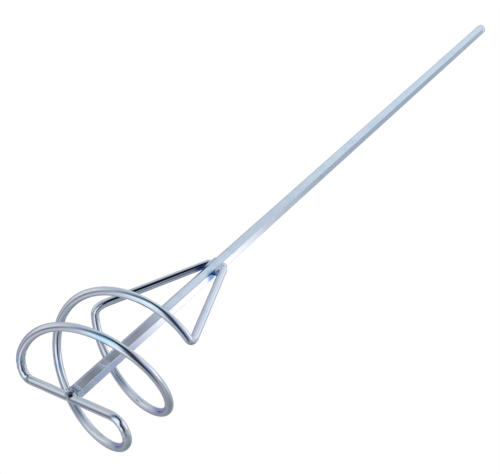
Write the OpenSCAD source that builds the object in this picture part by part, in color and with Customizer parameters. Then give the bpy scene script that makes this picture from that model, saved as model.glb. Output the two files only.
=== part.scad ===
// Mortar mixing paddle: a hexagonal shaft that carries two bent rods, each with a strut, one turn of coil
// and half of the cross bar at the foot. The drill holds the shaft's upper end, and +Z points to the drill.
// The origin is the centre of the shank's end face. Seen from the drill, a coil runs anticlockwise as it rises.

/* [Shaft] */
// Overall length, from the underside of the cross bar to the shank's end face
overall_l = 600; // [450:10:800]
// Width of the hexagonal bar across its flats
hex_af = 8; // [7:0.5:10]
// Turn of the flats that carry the struts, measured from the cross bar
flat_turn = -9; // [-15:1:0]
// Length of the turned nose at the shank's end, along the hexagon's corners
nose_l = 1.4; // [0.8:0.1:2]
// Diameter of the shank's end face inside the nose
end_face_d = 6.4; // [5:0.1:6.8]

/* [Rods] */
// Diameter of the round rod that both coils are bent from
rod_d = 5; // [4:0.5:6]
// Angle from the cross bar at which a coil starts
coil_start = 11; // [6:1:20]

/* [Rod A, as bent by hand] */
// Radius of coil A, from the shaft's axis to the rod's centre line
coil_r_a = 38; // [34:0.1:50]
// Rise of coil A in one full turn
coil_pitch_a = 66; // [56:0.5:80]
// Angle from its half of the cross bar at which coil A ends, in its top bend
coil_end_a = 350; // [335:1:370]
// Share by which coil A is oval
oval_a = 0.032; // [0:0.001:0.05]
// Share by which coil A rises faster at its ends than at its middle
rise_ease_a = 0.2; // [0:0.01:0.35]
// Height of strut A's upper end above the cross bar's centre line
strut_h_a = 140; // [125:1:180]

/* [Rod B, as bent by hand] */
// Radius of coil B, before its shift
coil_r_b = 38.6; // [34:0.1:50]
// Rise of coil B in one full turn
coil_pitch_b = 64.5; // [56:0.5:80]
// Angle from its half of the cross bar at which coil B ends, in its top bend
coil_end_b = 368; // [335:1:375]
// Share by which coil B is oval
oval_b = 0.043; // [0:0.001:0.05]
// Share by which coil B rises faster at its ends than at its middle
rise_ease_b = 0.33; // [0:0.01:0.35]
// Height of strut B's upper end above the cross bar's centre line
strut_h_b = 144; // [125:1:180]
// Shift of coil B as a whole, away from its own half of the cross bar
shift_b = 2.3; // [0:0.1:3]

/* [Both rods] */
// Angle of the ovals' long axis from the cross bar
oval_turn = 56; // [0:1:180]

/* [Welds] */
// Length of the bead that holds a strut's upper end on its flat
strut_bead_l = 11; // [8:0.5:14]
// Height of the fillet between the foot of the shaft and the cross bar
foot_bead_h = 2.2; // [1.5:0.1:3]

/* [Hidden] */

zinc = "silver";
bead_zinc = "gainsboro";

// Shaft
hex_corner_r = hex_af / 2 / cos(30);
shaft_foot_z = -overall_l + rod_d;
// The nose is part of a ball, through the rim of the end face and the corners nose_l below it
end_face_r = end_face_d / 2;
nose_centre_z = -(pow(hex_corner_r, 2) - pow(end_face_r, 2) + pow(nose_l, 2)) / (2 * nose_l);
nose_r = norm([end_face_r, nose_centre_z]);

// Rods. A rod is swept along its own centre line, with cross_z as the height of the cross bar's centre line.
rod_r = rod_d / 2;
cross_z = -overall_l + rod_r;
rod_sides = 16;
// A 16-sided section of the same area as the round rod
section_r = rod_r * sqrt(2 * PI / rod_sides / sin(360 / rod_sides));
// The struts end this far from the axis, just clear of the flats that they are welded to
strut_end_r = hex_af / 2 + 0.9 * rod_r;
// The two halves of the cross bar meet on the axis, with bevelled ends and a hairline gap
butt_gap = 0.3;
bevel_l = 1.2;
bevel_r = 0.55 * section_r;
// Lengths taken up by the bends, on either side of each corner
top_bend_on_strut = 8;
top_bend_on_coil = 5.3;
foot_bend_on_coil = 11;
foot_bend_on_bar = 10;
foot_bend_x = coil_r_a - foot_bend_on_bar;
// How far a bend's control points stand from its ends, as a share of the distance between them
bend_pull = 0.39;
// What sets one rod apart from the other: [radius, pitch, end, oval, rise_ease, strut_h, shift]
shape_a = [coil_r_a, coil_pitch_a, coil_end_a, oval_a, rise_ease_a, strut_h_a, 0];
shape_b = [coil_r_b, coil_pitch_b, coil_end_b, oval_b, rise_ease_b, strut_h_b, shift_b];
function radius_of(shape) = shape[0];
function pitch_of(shape) = shape[1];
function end_of(shape) = shape[2];
function oval_of(shape) = shape[3];
function rise_ease_of(shape) = shape[4];
function strut_h_of(shape) = shape[5];
function shift_of(shape) = shape[6];
// Steps of each stretch of a rod
bend_steps = 8;
coil_steps = 64;
straight_steps = 4;
tip_steps = 3;
// The tip's smallest ring, as a share of the rod's section, and the way that its first side points
tip_least = 0.3;
first_side = [0.31, 0.95, 0.11];

// Beads are runs of drops of weld metal, with this many steps from the first drop to the last
bead_steps = 8;
// A strut's bead starts above the strut's end, sunk in the flat, and grows out of it towards its foot
strut_bead_above = 3.2;
strut_bead_top_x = -0.4;
strut_bead_foot_x = 1.1;
strut_bead_top_r = 1.3;
strut_bead_foot_r = 1.9;
strut_bead_swell = 0.6;
// A foot bead runs under three quarters of the shaft's foot, beside the cross bar
foot_bead_half_l = 0.75 * hex_corner_r;
foot_bead_out = 0.35;
foot_bead_fall = 0.35 * foot_bead_h;
foot_bead_end_r = foot_bead_h / 2;
foot_bead_swell = foot_bead_h / 4;

// Helpers for points and lines
function unit(v) = v / norm(v);
function between(a, b, t) = a + t * (b - a);
function spread(n) = [for (i = [0:n]) i / n];
function bezier(a, b, c, d, t) =
    pow(1 - t, 3) * a + 3 * t * pow(1 - t, 2) * b + 3 * t * t * (1 - t) * c + pow(t, 3) * d;

// A point of a coil: t is 0 at its top corner and 1 at its foot
function coil_angle(shape, t) = coil_start + (end_of(shape) - coil_start) * (1 - t);
function coil_radius(shape, a) = radius_of(shape) * (1 + oval_of(shape) * cos(2 * (a - oval_turn)));
function coil_rise(shape, t) = 1 - t + rise_ease_of(shape) * t * (1 - t) * (1 - 2 * t);
function coil_height(shape) = pitch_of(shape) * (end_of(shape) - coil_start) / 360;
function coil_point(shape, t) =
    let (a = coil_angle(shape, t), r = coil_radius(shape, a))
    [r * cos(a) - shift_of(shape), r * sin(a), cross_z + coil_height(shape) * coil_rise(shape, t)];
function coil_direction(shape, t) =
    let (step = 0.001)
    unit(coil_point(shape, t + step) - coil_point(shape, t - step));
function coil_length(shape) =
    norm([radius_of(shape) * (end_of(shape) - coil_start) * PI / 180, coil_height(shape)]);

// The centre line of a rod, from its strut's upper end to its end on the axis under the shaft
function rod_line(shape) =
    let (
        strut_top = [
            strut_end_r * cos(flat_turn),
            strut_end_r * sin(flat_turn),
            cross_z + strut_h_of(shape)
        ],
        corner = coil_point(shape, 0),
        strut_way = unit(corner - strut_top),
        t_top = top_bend_on_coil / coil_length(shape),
        t_foot = 1 - foot_bend_on_coil / coil_length(shape),
        top_a = corner - top_bend_on_strut * strut_way,
        top_b = coil_point(shape, t_top),
        top_pull = bend_pull * norm(top_b - top_a),
        foot_a = coil_point(shape, t_foot),
        foot_b = [foot_bend_x, 0, cross_z],
        foot_pull = bend_pull * norm(foot_b - foot_a),
        bar_end = [butt_gap / 2, 0, cross_z],
        bar_way = unit(bar_end - foot_b)
    )
    [
        for (i = [0:tip_steps - 1])
            strut_top + strut_way * section_r * (1 - cos(90 * i / tip_steps)),
        for (t = spread(straight_steps))
            between(strut_top + strut_way * section_r, top_a, t),
        for (t = spread(bend_steps)) if (t > 0)
            bezier(
                top_a,
                top_a + top_pull * strut_way,
                top_b - top_pull * coil_direction(shape, t_top),
                top_b,
                t
            ),
        for (t = spread(coil_steps)) if (t > 0)
            coil_point(shape, between(t_top, t_foot, t)),
        for (t = spread(bend_steps)) if (t > 0)
            bezier(
                foot_a,
                foot_a + foot_pull * coil_direction(shape, t_foot),
                foot_b - foot_pull * bar_way,
                foot_b,
                t
            ),
        for (t = spread(straight_steps)) if (t > 0)
            between(foot_b, bar_end - bevel_l * bar_way, t),
        bar_end
    ];

// Radius of the section at each point of a rod's line: round at the strut's tip, bevelled at the butt end
function rod_radii(line) = [
    for (i = [0:len(line) - 1])
        i < tip_steps ? section_r * max(tip_least, sin(90 * i / tip_steps)) :
        i == len(line) - 1 ? bevel_r :
        section_r
];

// Directions along a line, and side directions that turn with it without twisting
function line_ways(line) = [
    for (i = [0:len(line) - 1])
        unit(line[min(i + 1, len(line) - 1)] - line[max(i - 1, 0)])
];
function flatten(v, way) = unit(v - (v * way) * way);
function side_ways(ways, i, side) =
    i == len(ways) ? [] :
    let (here = flatten(side, ways[i]))
    concat([here], side_ways(ways, i + 1, here));

// A closed round sweep along a line, with a radius for each of its points
module sweep(line, radii) {
    ways = line_ways(line);
    sides = side_ways(ways, 0, first_side);
    rings = [
        for (i = [0:len(line) - 1])
            let (u = sides[i], v = cross(ways[i], u))
            [
                for (k = [0:rod_sides - 1])
                    let (a = 360 * k / rod_sides)
                    line[i] + radii[i] * (cos(a) * u + sin(a) * v)
            ]
    ];
    points = [for (ring = rings) for (p = ring) p];
    last = (len(line) - 1) * rod_sides;
    walls = [
        for (i = [0:len(line) - 2])
            for (k = [0:rod_sides - 1])
                let (a = i * rod_sides + k, b = i * rod_sides + (k + 1) % rod_sides)
                [a, a + rod_sides, b + rod_sides, b]
    ];
    start_cap = [for (k = [0:rod_sides - 1]) k];
    end_cap = [for (k = [rod_sides - 1:-1:0]) last + k];
    polyhedron(points = points, faces = concat([start_cap, end_cap], walls));
}

// Solids that the nodes are made of, and that the welds are fitted to
module hex_bar() {
    intersection() {
        translate([0, 0, shaft_foot_z])
            rotate([0, 0, flat_turn + 30])
                cylinder(h = -shaft_foot_z, r = hex_corner_r, $fn = 6);
        // What the turned nose leaves of the bar
        union() {
            translate([0, 0, nose_centre_z])
                sphere(r = nose_r, $fn = 64);
            translate([0, 0, shaft_foot_z - 1])
                cylinder(h = nose_centre_z - shaft_foot_z + 1, r = hex_corner_r + 1, $fn = 64);
        }
    }
}

module bent_rod_a() {
    line = rod_line(shape_a);
    sweep(line, rod_radii(line));
}

module bent_rod_b() {
    line = rod_line(shape_b);
    rotate([0, 0, 180])
        sweep(line, rod_radii(line));
}

// A run of weld metal: drops of solid metal joined in a row, one for each [place, radius] in the list
module bead_run(drops) {
    for (i = [0:len(drops) - 2])
        hull() {
            for (drop = [drops[i], drops[i + 1]])
                translate(drop[0])
                    sphere(r = drop[1], $fn = 16);
        }
}

// The bead round a strut's upper end, on the flat that faces +X once flat_turn is undone
module strut_bead(shape) {
    rotate([0, 0, flat_turn])
        bead_run([
            for (t = spread(bead_steps))
                [
                    [
                        hex_af / 2 + between(strut_bead_top_x, strut_bead_foot_x, t),
                        0,
                        cross_z + strut_h_of(shape) + strut_bead_above - strut_bead_l * t
                    ],
                    between(strut_bead_top_r, strut_bead_foot_r, t) + strut_bead_swell * sin(180 * t)
                ]
        ]);
}

// The fillet along one side of the cross bar, under the foot of the shaft
module foot_bead(side) {
    bead_run([
        for (t = spread(bead_steps))
            [
                [
                    between(-foot_bead_half_l, foot_bead_half_l, t),
                    side * (rod_r + foot_bead_out),
                    shaft_foot_z - foot_bead_fall
                ],
                foot_bead_end_r + foot_bead_swell * sin(180 * t)
            ]
    ]);
}

// Nodes
module shaft() {
    color(zinc) hex_bar();
}

module coil_rod_a() {
    color(zinc) bent_rod_a();
}

module coil_rod_b() {
    color(zinc) bent_rod_b();
}

module strut_weld_a() {
    color(bead_zinc)
        difference() {
            strut_bead(shape_a);
            hex_bar();
            bent_rod_a();
        }
}

module strut_weld_b() {
    color(bead_zinc)
        difference() {
            rotate([0, 0, 180]) strut_bead(shape_b);
            hex_bar();
            bent_rod_b();
        }
}

module foot_weld(side) {
    color(bead_zinc)
        difference() {
            foot_bead(side);
            // The bead stays under the level of the shaft's foot
            translate([0, 0, shaft_foot_z])
                cylinder(h = foot_bead_h, r = 2 * hex_corner_r, $fn = 32);
            bent_rod_a();
            bent_rod_b();
        }
}

module foot_weld_front() {
    foot_weld(-1);
}

module foot_weld_back() {
    foot_weld(1);
}

shaft();
coil_rod_a();
coil_rod_b();
strut_weld_a();
strut_weld_b();
foot_weld_front();
foot_weld_back();
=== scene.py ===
import math

import bmesh
import bpy
from mathutils import Matrix, Vector, noise


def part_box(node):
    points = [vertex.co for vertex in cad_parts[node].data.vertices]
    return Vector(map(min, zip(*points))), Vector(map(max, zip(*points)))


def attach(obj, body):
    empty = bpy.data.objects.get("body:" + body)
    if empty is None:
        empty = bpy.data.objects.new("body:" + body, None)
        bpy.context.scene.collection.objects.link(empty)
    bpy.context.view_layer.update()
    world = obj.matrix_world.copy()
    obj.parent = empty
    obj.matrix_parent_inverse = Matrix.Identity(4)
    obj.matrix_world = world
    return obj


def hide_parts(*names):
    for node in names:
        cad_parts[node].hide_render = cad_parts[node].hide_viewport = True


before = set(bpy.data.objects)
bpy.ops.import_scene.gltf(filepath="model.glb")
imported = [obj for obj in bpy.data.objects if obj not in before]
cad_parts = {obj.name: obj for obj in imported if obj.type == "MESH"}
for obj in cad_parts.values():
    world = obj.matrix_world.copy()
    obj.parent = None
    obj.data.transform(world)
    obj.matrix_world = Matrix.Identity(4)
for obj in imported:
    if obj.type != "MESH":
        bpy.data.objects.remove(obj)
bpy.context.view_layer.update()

# Mortar mixing paddle. Shapes are worked out in millimetres, and MM turns them into metres as each mesh is
# made. They are in the frame of the CAD model: +Z points to the drill, and the origin is the centre of the
# shank's end face.
MM = 0.001

# The values from here to ROD_B repeat those of part.scad: first the hexagon, a flat's turn and the nose
HEX_AF = 8.0
FLAT_TURN = math.radians(-9)
NOSE_L = 1.4
END_FACE_R = 3.2
# The rods, with the degrees at which a coil starts and at which its oval is widest
ROD_R = 2.5
COIL_START = 11.0
OVAL_TURN = 56.0
# How much of the strut, the coil and the cross bar the bends take up, and how far their curves' handles reach
TOP_BEND_ON_STRUT = 8.0
TOP_BEND_ON_COIL = 5.3
FOOT_BEND_ON_COIL = 11.0
FOOT_BEND_X = 28.0
BEND_PULL = 0.39


class Rod:
    """What sets one hand-bent rod apart from the other."""

    def __init__(self, radius, pitch, end, oval, rise_ease, strut_h, shift, turn):
        self.radius = radius
        self.end = end
        self.oval = oval
        self.rise_ease = rise_ease
        self.strut_h = strut_h
        self.shift = shift
        self.turn = Matrix.Rotation(turn, 3, "Z")
        self.height = pitch * (end - COIL_START) / 360
        self.length = math.hypot(radius * math.radians(end - COIL_START), self.height)


ROD_A = Rod(38.0, 66.0, 350.0, 0.032, 0.20, 140.0, 0.0, 0)
ROD_B = Rod(38.6, 64.5, 368.0, 0.043, 0.33, 144.0, 2.3, math.pi)

FLAT_WAY = Vector((math.cos(FLAT_TURN), math.sin(FLAT_TURN), 0))
HEX_CORNER_R = HEX_AF / 2 / math.cos(math.radians(30))
SHAFT_FOOT_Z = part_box("shaft")[0][2] / MM
CROSS_Z = SHAFT_FOOT_Z - ROD_R
STRUT_END_R = HEX_AF / 2 + 0.9 * ROD_R


# ---------------------------------------------------------------- helpers

def between(a, b, t):
    """The value a share t of the way from a to b."""
    return a + t * (b - a)


def smooth(t):
    """0 below 0, 1 above 1 and an S curve from one to the other."""
    t = min(1.0, max(0.0, t))
    return t * t * (3 - 2 * t)


def bezier(a, b, c, d, t):
    """A point of the curve from a to d, with its handles at b and c."""
    return (1 - t) ** 3 * a + 3 * t * (1 - t) ** 2 * b + 3 * t * t * (1 - t) * c + t ** 3 * d


def new_piece(name, bm, material, slot, *nodes):
    """Makes an object of a bmesh, which rides on the one body and stands for the CAD nodes named."""
    bmesh.ops.recalc_face_normals(bm, faces=bm.faces)
    mesh = bpy.data.meshes.new(name)
    bm.to_mesh(mesh)
    bm.free()
    mesh.materials.append(material)
    piece = bpy.data.objects.new(name, mesh)
    bpy.context.scene.collection.objects.link(piece)
    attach(piece, "root")
    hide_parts(*nodes)
    return piece


# ---------------------------------------------------------------- rods

COIL_STEPS = 300
BEND_STEPS = 30
STRUT_STEPS = 80
BAR_STEPS = 40
TIP_STEPS = 8
ROD_SIDES = 48
CAP_STEPS = 5
# Share of the rod's radius that is left at the very tip of the strut
TIP_BLUNT = 0.05
# Each half of the cross bar ends in a chisel edge, as if cropped, which leaves a notch in front and behind
CHISEL_DEPTH = 2.9
CHISEL_STEPS = BAR_STEPS // 4
# Ripples in the foot bends, such as a bender leaves, and how far from the bend's middle they reach
RIPPLE_HEIGHT = 0.08
RIPPLE_LENGTH = 4.2
RIPPLE_REACH = 14
# Slow unevenness of the drawn surface
WAVER_HEIGHT = 0.035
WAVER_SIZE = 14.0
# Length of rod that counts as 1 in the mesh attribute "drawn", which the streaks follow
DRAWN_UNIT = 40
# The sweep's first ring starts in this direction, once it is made square to the strut
FIRST_SIDE = Vector((0.31, 0.95, 0.11))


def coil_point(shape, t):
    """A point of a coil's centre line: t is 0 at its top corner and 1 at its foot."""
    degrees = COIL_START + (shape.end - COIL_START) * (1 - t)
    a = math.radians(degrees)
    r = shape.radius * (1 + shape.oval * math.cos(2 * math.radians(degrees - OVAL_TURN)))
    rise = 1 - t + shape.rise_ease * t * (1 - t) * (1 - 2 * t)
    return Vector((r * math.cos(a) - shape.shift, r * math.sin(a), CROSS_Z + shape.height * rise))


def coil_way(shape, t):
    """The direction of a coil's centre line."""
    step = 0.001
    return (coil_point(shape, t + step) - coil_point(shape, t - step)).normalized()


def rod_line(shape):
    """A rod's centre line, from its strut's tip to the middle of the cross bar."""
    tip = Vector((
        STRUT_END_R * math.cos(FLAT_TURN),
        STRUT_END_R * math.sin(FLAT_TURN),
        CROSS_Z + shape.strut_h,
    ))
    corner = coil_point(shape, 0)
    strut_way = (corner - tip).normalized()
    t_top = TOP_BEND_ON_COIL / shape.length
    t_foot = 1 - FOOT_BEND_ON_COIL / shape.length

    top_a = corner - TOP_BEND_ON_STRUT * strut_way
    top_b = coil_point(shape, t_top)
    top_pull = BEND_PULL * (top_b - top_a).length
    top_way = coil_way(shape, t_top)

    foot_a = coil_point(shape, t_foot)
    foot_b = Vector((FOOT_BEND_X, 0, CROSS_Z))
    foot_pull = BEND_PULL * (foot_b - foot_a).length
    foot_way = coil_way(shape, t_foot)
    bar_way = Vector((-1, 0, 0))
    bar_end = Vector((0, 0, CROSS_Z))

    line = []
    for i in range(TIP_STEPS):
        line.append(tip + strut_way * ROD_R * (1 - math.cos(math.pi / 2 * i / TIP_STEPS)))
    for i in range(STRUT_STEPS + 1):
        line.append(between(tip + strut_way * ROD_R, top_a, i / STRUT_STEPS))
    for i in range(1, BEND_STEPS + 1):
        line.append(bezier(
            top_a, top_a + top_pull * strut_way, top_b - top_pull * top_way, top_b, i / BEND_STEPS
        ))
    for i in range(1, COIL_STEPS + 1):
        line.append(coil_point(shape, between(t_top, t_foot, i / COIL_STEPS)))
    for i in range(1, BEND_STEPS + 1):
        line.append(bezier(
            foot_a, foot_a + foot_pull * foot_way, foot_b - foot_pull * bar_way, foot_b, i / BEND_STEPS
        ))
    for i in range(1, BAR_STEPS + 1):
        line.append(between(foot_b, bar_end, i / BAR_STEPS))
    return line


def line_frames(line):
    """For each point, the direction of the line and a side direction that turns with it without twisting."""
    frames = []
    side = FIRST_SIDE
    for i in range(len(line)):
        way = (line[min(i + 1, len(line) - 1)] - line[max(i - 1, 0)]).normalized()
        side = (side - side.dot(way) * way).normalized()
        frames.append((way, side, way.cross(side)))
    return frames


def tip_share(i):
    """Share of the rod's radius at a point of its line: the strut's tip is rounded."""
    if i < TIP_STEPS:
        return max(TIP_BLUNT, math.sin(math.pi / 2 * i / TIP_STEPS))
    return 1.0


def rod_relief(place, along, foot_bend_at):
    """Height of the skin over the true round rod: ripples in the foot bend, and unevenness everywhere."""
    near_bend = 1 - smooth(abs(along - foot_bend_at) / RIPPLE_REACH)
    ripple = RIPPLE_HEIGHT * near_bend * math.sin(2 * math.pi * along / RIPPLE_LENGTH)
    waver = WAVER_HEIGHT * noise.noise(place / WAVER_SIZE)
    return ripple + waver


def rod(name, node, shape, material):
    """A bent rod, swept along its centre line, with a chisel end in the middle of the cross bar."""
    line = rod_line(shape)
    foot_bend_first = len(line) - BAR_STEPS - BEND_STEPS
    travelled = [0.0]
    for a, b in zip(line, line[1:]):
        travelled.append(travelled[-1] + (b - a).length)
    foot_bend_at = (travelled[foot_bend_first] + travelled[foot_bend_first + BEND_STEPS]) / 2
    frames = line_frames(line)

    bm = bmesh.new()
    drawn = bm.verts.layers.float_vector.new("drawn")
    rings = []

    def add_ring(i, share, cut):
        """One ring of the sweep: share scales its radius, and cut moves it back to the chisel's faces."""
        way, side, other = frames[i]
        tip = tip_share(i)
        ring = []
        for k in range(ROD_SIDES):
            a = 2 * math.pi * k / ROD_SIDES
            outward = math.cos(a) * side + math.sin(a) * other
            surface = line[i] + ROD_R * outward
            relief = rod_relief(surface, travelled[i], foot_bend_at)
            place = line[i] + (ROD_R * share + tip * relief * share) * tip * outward
            place -= way * cut * CHISEL_DEPTH * share * abs(outward.y)
            vert = bm.verts.new(shape.turn @ place * MM)
            vert[drawn] = (math.cos(a), math.sin(a), travelled[i] / DRAWN_UNIT)
            ring.append(vert)
        rings.append(ring)

    last = len(line) - 1
    chisel_first = last - CHISEL_STEPS
    for i in range(len(line)):
        add_ring(i, 1.0, max(0.0, (i - chisel_first) / (last - chisel_first)))
    for step in range(1, CAP_STEPS):
        add_ring(last, 1 - step / CAP_STEPS, 1.0)
    for low, high in zip(rings, rings[1:]):
        for k in range(ROD_SIDES):
            bm.faces.new((low[k], low[k - 1], high[k - 1], high[k]))
    bm.faces.new(rings[0])
    bm.faces.new(rings[-1])
    for face in bm.faces:
        face.smooth = True
    for k in range(ROD_SIDES):
        rim = bm.edges.get((rings[last][k], rings[last][k - 1]))
        rim.smooth = False
    return new_piece(name, bm, material, "rod_zinc", node)


# ---------------------------------------------------------------- shaft

SHAFT_STEPS = 150
NOSE_STEPS = 7
FACE_STEPS = 4
ARC_STEPS = 6
# Radius of the rounded edges between the flats
CORNER_ROUND = 0.4
# Distance from an edge at which a support ring keeps the flat beside it flat
SUPPORT = 0.12
# Where else a flat has points, as a share of half its width
FLAT_POINT = 0.4
# Share of the outline that is left at the foot, where the last SUPPORT of the bar is chamfered
FOOT_SHARE = 0.96


def hex_section():
    """The rounded hexagon's outline: for each side, the points of its flat and the arc of the next corner."""
    apothem = HEX_AF / 2
    outline = []
    for side in range(6):
        flat_at = FLAT_TURN + side * math.pi / 3
        normal = Vector((math.cos(flat_at), math.sin(flat_at), 0))
        along = Vector((-normal.y, normal.x, 0))
        half = (apothem - CORNER_ROUND) * math.tan(math.pi / 6)
        for share in (-1, -1 + SUPPORT / half, -FLAT_POINT, FLAT_POINT, 1 - SUPPORT / half, 1):
            outline.append(normal * apothem + along * half * share)
        centre = normal * (apothem - CORNER_ROUND) + along * half
        for step in range(1, ARC_STEPS):
            a = flat_at + math.pi / 3 * step / ARC_STEPS
            outline.append(centre + CORNER_ROUND * Vector((math.cos(a), math.sin(a), 0)))
    return outline


def shaft(material):
    """The hexagonal bar, with rounded edges and the turned nose at the drill's end."""
    outline = hex_section()
    ball_z = -(HEX_CORNER_R ** 2 - END_FACE_R ** 2 + NOSE_L ** 2) / (2 * NOSE_L)
    ball_r = math.hypot(END_FACE_R, ball_z)

    def ball_height(radius):
        return ball_z + math.sqrt(ball_r ** 2 - radius ** 2)

    columns = []
    for point in outline:
        radius = point.length
        top = ball_height(radius)
        column = [point * FOOT_SHARE + Vector((0, 0, SHAFT_FOOT_Z))]
        column.append(point + Vector((0, 0, SHAFT_FOOT_Z + SUPPORT)))
        for step in range(1, SHAFT_STEPS):
            z = between(SHAFT_FOOT_Z + SUPPORT, -2 * NOSE_L, step / SHAFT_STEPS)
            column.append(point + Vector((0, 0, z)))
        column.append(point + Vector((0, 0, top - SUPPORT)))
        for step in range(1, NOSE_STEPS + 1):
            r = between(radius, END_FACE_R, step / NOSE_STEPS)
            column.append(point * (r / radius) + Vector((0, 0, ball_height(r))))
        for step in range(1, FACE_STEPS):
            column.append(point * (END_FACE_R / radius) * (1 - step / FACE_STEPS))
        columns.append(column)

    bm = bmesh.new()
    verts = [[bm.verts.new(place * MM) for place in column] for column in columns]
    for k, column in enumerate(verts):
        before = verts[k - 1]
        for i in range(len(column) - 1):
            bm.faces.new((before[i], column[i], column[i + 1], before[i + 1]))
    bm.faces.new([column[0] for column in verts])
    bm.faces.new([column[-1] for column in verts])
    for face in bm.faces:
        face.smooth = len(face.verts) == 4
    return new_piece("hex_shaft", bm, material, "shaft_zinc", "shaft")


# ---------------------------------------------------------------- welds

BEAD_STEPS = 90
BEAD_SIDES = 36
# How blunt a bead's two ends are: 2 would make an ellipse
BEAD_BLUNTNESS = 5
# Height and size of a bead's small unevenness
BEAD_ROUGHNESS = 0.06
BEAD_GRAIN = 0.8


def weld(name, node, spine, radius, turn, material):
    """One skin of weld metal, swept along spine(t) with radius(t), rounded at both ends and a little uneven.

    t runs from 0 at one end to 1 at the other.
    """
    bm = bmesh.new()
    start = spine(0)
    way = (spine(1) - start).normalized()
    side = way.orthogonal().normalized()
    other = way.cross(side)
    rings = []
    for i in range(1, BEAD_STEPS):
        t = i / BEAD_STEPS
        dome = math.sqrt(1 - abs(2 * t - 1) ** BEAD_BLUNTNESS)
        ring = []
        for k in range(BEAD_SIDES):
            a = 2 * math.pi * k / BEAD_SIDES
            outward = math.cos(a) * side + math.sin(a) * other
            place = spine(t) + radius(t) * dome * outward
            place += BEAD_ROUGHNESS * noise.noise(place / BEAD_GRAIN) * outward
            ring.append(bm.verts.new(turn @ place * MM))
        rings.append(ring)
    for low, high in zip(rings, rings[1:]):
        for k in range(BEAD_SIDES):
            bm.faces.new((low[k - 1], low[k], high[k], high[k - 1]))
    for ring, t in ((rings[0], 0), (rings[-1], 1)):
        tip = bm.verts.new(turn @ spine(t) * MM)
        for k in range(BEAD_SIDES):
            bm.faces.new((tip, ring[k - 1], ring[k]))
    for face in bm.faces:
        face.smooth = True
    return new_piece(name, bm, material, "weld_zinc", node)


STRUT_BEAD_L = 13.0
# How far the bead reaches above the strut's tip
STRUT_BEAD_ABOVE = 4.4
# Its middle line's distance from the flat, and its radius, at the upper and the lower end
STRUT_BEAD_OUT = (0.2, 1.3)
STRUT_BEAD_R = (2.2, 2.3)
STRUT_BEAD_SWELL = 0.2
STRUT_RIPPLES = 7
STRUT_RIPPLE_HEIGHT = 0.05
# How far it wanders sideways, and through how many radians of a wave
STRUT_BEAD_WANDER = 0.15
STRUT_WANDER_TURN = 14


def strut_weld(name, node, shape, material):
    """The bead that holds a strut's tip on its flat. It stands further out as it runs down onto the strut."""
    across = Vector((-FLAT_WAY.y, FLAT_WAY.x, 0))

    def spine(t):
        out = HEX_AF / 2 + between(*STRUT_BEAD_OUT, t)
        wander = across * STRUT_BEAD_WANDER * math.sin(STRUT_WANDER_TURN * t)
        z = CROSS_Z + shape.strut_h + STRUT_BEAD_ABOVE - STRUT_BEAD_L * t
        return FLAT_WAY * out + wander + Vector((0, 0, z))

    def radius(t):
        swell = STRUT_BEAD_SWELL * math.sin(math.pi * t)
        ripple = STRUT_RIPPLE_HEIGHT * math.sin(2 * math.pi * STRUT_RIPPLES * t)
        return between(*STRUT_BEAD_R, t) + swell + ripple

    return weld(name, node, spine, radius, shape.turn, material)


FOOT_BEAD_HALF_L = 4.2
FOOT_BEAD_R = 1.15
# Where its middle line lies: inside the rod's skin and below the shaft's foot
FOOT_BEAD_INSIDE = 0.3
FOOT_BEAD_BELOW = 1.3
# At its middle it is tucked in, raised and a little thinner
FOOT_BEAD_TUCK = 0.5
FOOT_BEAD_RISE = 0.6
FOOT_BEAD_WAIST = 0.15
# How far it wanders in and out, and through how many radians of a wave
FOOT_BEAD_WANDER = 0.25
FOOT_WANDER_TURN = 5
# Its lumps, where along a wave they start, and smaller lumps on them
FOOT_LUMPS = 3
FOOT_LUMP_HEIGHT = 0.22
FOOT_LUMP_START = 0.6
SMALL_LUMP_HEIGHT = 0.10
SMALL_LUMP_TURN = 31


def foot_weld(name, node, turn, material):
    """The fillet between the cross bar and the foot of the shaft: uneven lumps with pits between them."""

    def spine(t):
        along = between(-FOOT_BEAD_HALF_L, FOOT_BEAD_HALF_L, t)
        arch = math.sin(math.pi * t)
        wander = FOOT_BEAD_WANDER * math.cos(FOOT_WANDER_TURN * t)
        out = ROD_R - FOOT_BEAD_INSIDE + wander - FOOT_BEAD_TUCK * arch
        return Vector((along, -out, SHAFT_FOOT_Z - FOOT_BEAD_BELOW + FOOT_BEAD_RISE * arch))

    def radius(t):
        lumps = FOOT_LUMP_HEIGHT * math.sin(2 * math.pi * FOOT_LUMPS * t + FOOT_LUMP_START)
        lumps += SMALL_LUMP_HEIGHT * math.sin(SMALL_LUMP_TURN * t)
        return FOOT_BEAD_R + lumps - FOOT_BEAD_WAIST * math.sin(math.pi * t)

    return weld(name, node, spine, radius, turn, material)


# ---------------------------------------------------------------- materials

BUMP_STRENGTH = 0.6


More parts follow.
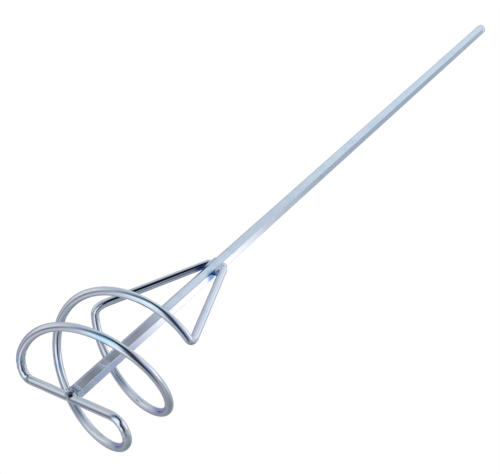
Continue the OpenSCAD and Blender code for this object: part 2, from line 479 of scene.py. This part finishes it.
class Nodes:
    """Short calls for the nodes of one tree."""

    def __init__(self, tree):
        self.tree = tree

    def add(self, kind, **settings):
        made = self.tree.nodes.new(kind)
        for key, value in settings.items():
            setattr(made, key, value)
        return made

    def link(self, out, into):
        self.tree.links.new(out, into)

    def feed(self, value, into):
        """Links a socket, or sets a plain value."""
        if isinstance(value, bpy.types.NodeSocket):
            self.link(value, into)
        else:
            into.default_value = value

    def noise(self, vector, scale, detail=2.0):
        made = self.add("ShaderNodeTexNoise")
        self.link(vector, made.inputs["Vector"])
        made.inputs["Scale"].default_value = scale
        made.inputs["Detail"].default_value = detail
        return made.outputs["Fac"]

    def spread(self, value, low, high, to_low, to_high):
        """Maps low..high to to_low..to_high in an S curve, and holds it there outside."""
        made = self.add("ShaderNodeMapRange", interpolation_type="SMOOTHSTEP", clamp=True)
        for name, item in (
            ("Value", value), ("From Min", low), ("From Max", high), ("To Min", to_low), ("To Max", to_high)
        ):
            self.feed(item, made.inputs[name])
        return made.outputs["Result"]

    def mix(self, share, first, second):
        """Mixes two colours, which are the node's inputs 6 and 7 and its output 2."""
        made = self.add("ShaderNodeMix", data_type="RGBA")
        self.feed(share, made.inputs["Factor"])
        self.feed(first, made.inputs[6])
        self.feed(second, made.inputs[7])
        return made.outputs[2]

    def scaled(self, vector, scale):
        made = self.add("ShaderNodeMapping")
        self.link(vector, made.inputs["Vector"])
        made.inputs["Scale"].default_value = scale
        return made.outputs["Vector"]

    def math(self, operation, first, second):
        made = self.add("ShaderNodeMath", operation=operation)
        self.feed(first, made.inputs[0])
        self.feed(second, made.inputs[1])
        return made.outputs[0]

    def bump(self, height, depth):
        made = self.add("ShaderNodeBump")
        made.inputs["Distance"].default_value = depth
        made.inputs["Strength"].default_value = BUMP_STRENGTH
        self.link(height, made.inputs["Height"])
        return made


STEEL_BLUE = (0.80, 0.82, 0.81, 1)
LILAC = (0.80, 0.79, 0.82, 1)
TEAL = (0.50, 0.70, 0.77, 1)
STRAW = (0.82, 0.80, 0.78, 1)
LINE_GREY = (0.55, 0.60, 0.66, 1)
# The painted shade, deep blue, in the crevice under each strut's tip: its place, size, greatest share and
# colour
CREVICE_BELOW = 11.0
CREVICE_OUT = 6.0
CREVICE_SIZE = 6.5
CREVICE_SHARE = 0.85
CREVICE_PAINTED_SHADE = (0.03, 0.18, 0.42, 1)
# The painted shade in the cross bar's two notches
NOTCH_OUT = 0.8 * ROD_R
NOTCH_UP = 0.2 * ROD_R
NOTCH_SIZE = 2.6
NOTCH_SHARE = 0.95
NOTCH_PAINTED_SHADE = (0.03, 0.06, 0.08, 1)
# Share of a patch of painted shade's size over which it stays at full strength
PAINTED_SHADE_CORE = 0.3
# Fineness of the grain, in changes to a metre
GRAIN_SCALE = 2600.0


def painted_shade_round(n, place, colour, centre, size, share, shade_colour):
    """Paints shade into the metal's colour round centre, which is in millimetres like size."""
    apart = n.add("ShaderNodeVectorMath", operation="DISTANCE")
    n.link(place, apart.inputs[0])
    apart.inputs[1].default_value = centre * MM
    near = n.spread(apart.outputs["Value"], PAINTED_SHADE_CORE * size * MM, size * MM, share, 0.0)
    return n.mix(near, colour, shade_colour)


def painted_shade_by_welds(n, place, colour):
    """Painted shade: deep blue in the crevice under each strut, and dark in the pits of the cross bar's
    notches.
    """
    for shape in (ROD_A, ROD_B):
        crevice = FLAT_WAY * CREVICE_OUT + Vector((0, 0, CROSS_Z + shape.strut_h - CREVICE_BELOW))
        notch = Vector((0, -NOTCH_OUT, CROSS_Z + NOTCH_UP))
        # Painted shade: deep blue in the crevice under the strut's tip
        colour = painted_shade_round(n, place, colour, shape.turn @ crevice, CREVICE_SIZE, CREVICE_SHARE, CREVICE_PAINTED_SHADE)
        # Painted shade: dark in the notch of the cross bar
        colour = painted_shade_round(n, place, colour, shape.turn @ notch, NOTCH_SIZE, NOTCH_SHARE, NOTCH_PAINTED_SHADE)
    return colour


def zinc(name, streaks, blotch_size, teal_share, low_rough, high_rough, line_depth, grain_depth):
    """Bright zinc with blue passivation: drifting tints, blotches, lines along the metal and fine grain.

    streaks makes the vector in which the lines run. blotch_size and the two depths are in metres.
    teal_share is the greatest share of teal in a blotch. low_rough and high_rough are the least and the
    greatest roughness, before the lines add a little.
    """
    material = bpy.data.materials.new(name)
    material.use_nodes = True
    n = Nodes(material.node_tree)
    shader = material.node_tree.nodes["Principled BSDF"]
    shader.inputs["Metallic"].default_value = 1.0
    place = n.add("ShaderNodeTexCoord").outputs["Object"]
    lines = streaks(n, place)

    drift = n.noise(place, 0.35 / blotch_size, 1.0)
    blotch = n.noise(place, 1 / blotch_size, 3.0)
    line = n.noise(lines, 1.0, 3.0)
    grain = n.noise(place, GRAIN_SCALE, 2.0)

    # Each tint comes in over a stretch of its noise, up to a greatest share
    colour = n.mix(n.spread(drift, 0.40, 0.62, 0.0, 0.8), STEEL_BLUE, LILAC)
    colour = n.mix(n.spread(blotch, 0.52, 0.72, 0.0, teal_share), colour, TEAL)
    colour = n.mix(n.spread(blotch, 0.44, 0.26, 0.0, 0.6), colour, STRAW)
    colour = n.mix(n.spread(line, 0.35, 0.75, 0.0, 0.25), colour, LINE_GREY)
    # Painted shade in the crevices under the struts and in the notches goes into the colour
    colour = painted_shade_by_welds(n, place, colour)
    n.link(colour, shader.inputs["Base Color"])

    blotch_rough = n.spread(blotch, 0.3, 0.7, low_rough, high_rough)
    line_rough = n.spread(line, 0.4, 0.8, 0.0, 0.05)
    n.link(n.math("ADD", blotch_rough, line_rough), shader.inputs["Roughness"])

    fine = n.bump(grain, grain_depth)
    drawn = n.bump(line, line_depth)
    n.link(fine.outputs["Normal"], drawn.inputs["Normal"])
    n.link(drawn.outputs["Normal"], shader.inputs["Normal"])
    return material


# How often the lines change along each axis: often across the metal, seldom along it
ROD_STREAKS = (7, 7, 1)
SHAFT_STREAKS = (1600, 1600, 12)
# On the beads they change most often along the shaft, which makes ripples
WELD_STREAKS = (300, 300, 900)


def rod_streaks(n, place):
    """Lines that follow a rod round its bends, by the mesh attribute "drawn" instead of place."""
    drawn = n.add("ShaderNodeAttribute", attribute_type="GEOMETRY", attribute_name="drawn")
    return n.scaled(drawn.outputs["Vector"], ROD_STREAKS)


def shaft_streaks(n, place):
    """Lines along the shaft."""
    return n.scaled(place, SHAFT_STREAKS)


def weld_streaks(n, place):
    """Level ripples, which cross the strut beads and run along the foot beads."""
    return n.scaled(place, WELD_STREAKS)


rod_zinc = zinc(
    "rod_zinc", rod_streaks, blotch_size=0.014, teal_share=0.80,
    low_rough=0.03, high_rough=0.08, line_depth=0.0000025, grain_depth=0.0000003,
)
shaft_zinc = zinc(
    "shaft_zinc", shaft_streaks, blotch_size=0.011, teal_share=0.30,
    low_rough=0.09, high_rough=0.15, line_depth=0.000002, grain_depth=0.0000003,
)
weld_zinc = zinc(
    "weld_zinc", weld_streaks, blotch_size=0.004, teal_share=0.50,
    low_rough=0.12, high_rough=0.24, line_depth=0.00002, grain_depth=0.000002,
)

# ---------------------------------------------------------------- the object

shaft(shaft_zinc)
rod("bent_rod_a", "coil_rod_a", ROD_A, rod_zinc)
rod("bent_rod_b", "coil_rod_b", ROD_B, rod_zinc)
strut_weld("strut_bead_a", "strut_weld_a", ROD_A, weld_zinc)
strut_weld("strut_bead_b", "strut_weld_b", ROD_B, weld_zinc)
foot_weld("foot_bead_front", "foot_weld_front", ROD_A.turn, weld_zinc)
foot_weld("foot_bead_back", "foot_weld_back", ROD_B.turn, weld_zinc)

# ---------------------------------------------------------------- stage

# Turns the shade wanted on screen into light. It is above the screen's own 2.2 or so, which darkens the
# middle shades and so deepens the contrast.
SHADE_GAMMA = 2.8
# Share of the light that zinc mirrors, roughly
ZINC_SHINE = 0.74
# Width of the soft edge that cuts a card off a right angle away from its centre
CUT_SOFTNESS = 0.05
# The studio: soft oval cards on the sky, set round the paddle. Each is painted over those before it.
# A card is (name, azimuth, elevation, half width, half height, turn, softness, rough shade in the metal).
# Its angles are in degrees.
OPEN_STUDIO = (0.74, 0.76, 0.80)
CARDS = (
    # Walls and soft boxes
    ("left_wall", -160, -20, 80, 30, -45, 0.6, (0.82, 0.84, 0.86)),
    ("right_wall", 90, 10, 55, 30, 0, 0.8, (0.55, 0.57, 0.60)),
    ("top_box", 0, 60, 20, 40, 0, 0.5, (0.90, 0.90, 0.95)),
    ("front_panel", 10, 35, 10, 20, 0, 0.5, (0.95, 0.95, 1.00)),
    ("floor_box", -50, -50, 25, 50, 20, 0.3, (0.90, 0.95, 1.00)),
    ("floor_strip", 70, -65, 20, 10, 20, 0.6, (0.95, 0.95, 1.00)),
    # Dark flags, which draw the dark lines along the rods
    ("teal_curtain", -75, -10, 20, 50, -25, 0.9, (0.35, 0.45, 0.55)),
    ("low_flag", 10, -35, 45, 20, -15, 0.7, (0.20, 0.25, 0.35)),
    ("high_flag", -40, 5, 35, 15, -35, 0.5, (0.10, 0.15, 0.25)),
    ("black_strip", -53, 16, 40, 6, -35, 0.4, (0.05, 0.05, 0.10)),
    # Panels that light the shaft's flats
    ("back_panel", -95, 60, 20, 15, 0, 0.5, (0.80, 0.85, 0.90)),
    ("back_strip", -90, 40, 10, 3, 0, 0.5, (0.80, 0.85, 0.90)),
    ("grey_panel", 35, 55, 10, 10, 0, 0.5, (0.65, 0.70, 0.75)),
    ("grey_flag", 35, 30, 10, 5, 0, 0.5, (0.60, 0.65, 0.75)),
    ("narrow_panel", 30, 40, 15, 4, 0, 0.5, (1.00, 1.00, 1.05)),
    # Tinted light
    ("blue_strip", 5, 10, 20, 5, 0, 0.6, (0.40, 0.55, 0.70)),
    ("pale_strip", -40, -30, 20, 5, -50, 0.5, (0.80, 0.90, 0.95)),
    ("violet_corner", 160, 15, 25, 20, 50, 0.9, (0.40, 0.40, 0.60)),
    ("far_panel", 165, -25, 15, 35, -35, 0.9, (0.70, 0.70, 0.75)),
    ("far_floor", 180, -60, 30, 10, -15, 0.9, (0.50, 0.50, 0.55)),
)


def shade(colour):
    """The light that makes zinc look about like colour on screen."""
    return tuple(value ** SHADE_GAMMA / ZINC_SHINE for value in colour) + (1,)


def card(n, sky, behind, azimuth, elevation, half_w, half_h, turn, softness, colour):
    """Paints one card over the light that is behind it."""
    a = math.radians(azimuth)
    e = math.radians(elevation)
    t = math.radians(turn)
    centre = Vector((math.cos(e) * math.cos(a), math.cos(e) * math.sin(a), math.sin(e)))
    level = Vector((-math.sin(a), math.cos(a), 0))
    upright = centre.cross(level)
    wide = math.cos(t) * level + math.sin(t) * upright
    high = math.cos(t) * upright - math.sin(t) * level

    def along(direction, size):
        """How far the sky's direction reaches along another, in units of size."""
        made = n.add("ShaderNodeVectorMath", operation="DOT_PRODUCT")
        n.link(sky, made.inputs[0])
        made.inputs[1].default_value = direction / size
        return made.outputs["Value"]

    x = along(wide, math.sin(math.radians(half_w)))
    y = along(high, math.sin(math.radians(half_h)))
    squares = n.math("ADD", n.math("MULTIPLY", x, x), n.math("MULTIPLY", y, y))
    distance = n.math("SQRT", squares, 0.0)
    inside = n.spread(distance, 1 - softness, 1 + softness, 1.0, 0.0)
    ahead = n.spread(along(centre, 1.0), 0.0, CUT_SOFTNESS, 0.0, 1.0)
    return n.mix(n.math("MULTIPLY", inside, ahead), behind, shade(colour))


def studio_world():
    """A white backdrop for the camera, and the studio's cards for what lights the metal and the floor."""
    world = bpy.data.worlds.new("studio")
    bpy.context.scene.world = world
    world.use_nodes = True
    n = Nodes(world.node_tree)
    background = world.node_tree.nodes["Background"]
    sky = n.add("ShaderNodeTexCoord").outputs["Generated"]
    light = shade(OPEN_STUDIO)
    for _, *facts in CARDS:
        light = card(n, sky, light, *facts)
    seen = n.add("ShaderNodeLightPath").outputs["Is Camera Ray"]
    n.link(n.mix(seen, light, (1, 1, 1, 1)), background.inputs["Color"])


# In metres
FLOOR_R = 6.0
FLOOR_SIDES = 96
FLOOR_GREY = (0.88, 0.88, 0.88, 1)
FLOOR_ROUGHNESS = 0.9
SKYLIGHT_ANGLE = math.radians(70)
SKYLIGHT_POWER = 1.1


def studio_floor():
    """A plain pale floor under the paddle. The photo looks up past its level, so it is clear from below."""
    bm = bmesh.new()
    bmesh.ops.create_circle(bm, cap_ends=True, segments=FLOOR_SIDES, radius=FLOOR_R)
    mesh = bpy.data.meshes.new("floor")
    bm.to_mesh(mesh)
    bm.free()
    floor = bpy.data.objects.new("floor", mesh)
    bpy.context.collection.objects.link(floor)
    floor.location.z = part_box("coil_rod_a")[0][2]
    floor.visible_glossy = False

    material = bpy.data.materials.new("pale_floor")
    material.use_nodes = True
    n = Nodes(material.node_tree)
    top = material.node_tree.nodes["Principled BSDF"]
    top.inputs["Base Color"].default_value = FLOOR_GREY
    top.inputs["Roughness"].default_value = FLOOR_ROUGHNESS
    clear = n.add("ShaderNodeBsdfTransparent")
    one_sided = n.add("ShaderNodeMixShader")
    n.link(n.add("ShaderNodeNewGeometry").outputs["Backfacing"], one_sided.inputs["Fac"])
    n.link(top.outputs["BSDF"], one_sided.inputs[1])
    n.link(clear.outputs["BSDF"], one_sided.inputs[2])
    n.link(one_sided.outputs["Shader"], material.node_tree.nodes["Material Output"].inputs["Surface"])
    mesh.materials.append(material)


def skylight():
    """A broad soft light over the floor. The metal takes its light from the cards instead."""
    light = bpy.data.lights.new("skylight", "SUN")
    light.angle = SKYLIGHT_ANGLE
    light.energy = SKYLIGHT_POWER
    lamp = bpy.data.objects.new("skylight", light)
    lamp.visible_glossy = False
    bpy.context.collection.objects.link(lamp)


# The camera's place in metres, the direction it looks in, its roll, and its lens and sensor in millimetres
CAMERA_AT = Vector((0.3055, -0.3472, -0.8646))
LOOK_AZIMUTH = math.radians(131.30)
LOOK_ELEVATION = math.radians(44.01)
ROLL = math.radians(48.08)
LENS = 69.59
SENSOR_WIDTH = 36
NEAREST = 0.01


def photo_camera():
    """A camera at the photograph's viewing angle, which looks up from below the cross bar."""
    camera_data = bpy.data.cameras.new("camera")
    camera_data.sensor_width = SENSOR_WIDTH
    camera_data.lens = LENS
    camera_data.clip_start = NEAREST
    camera = bpy.data.objects.new("camera", camera_data)
    bpy.context.scene.collection.objects.link(camera)
    bpy.context.scene.camera = camera
    look = Vector((
        math.cos(LOOK_AZIMUTH) * math.cos(LOOK_ELEVATION),
        math.sin(LOOK_AZIMUTH) * math.cos(LOOK_ELEVATION),
        math.sin(LOOK_ELEVATION),
    ))
    level = look.to_track_quat("-Z", "Y").to_matrix()
    rolled = level @ Matrix.Rotation(ROLL, 3, "Z")
    camera.matrix_world = Matrix.Translation(CAMERA_AT) @ rolled.to_4x4()


studio_world()
studio_floor()
skylight()
photo_camera()
bpy.context.scene.view_settings.view_transform = "Standard"
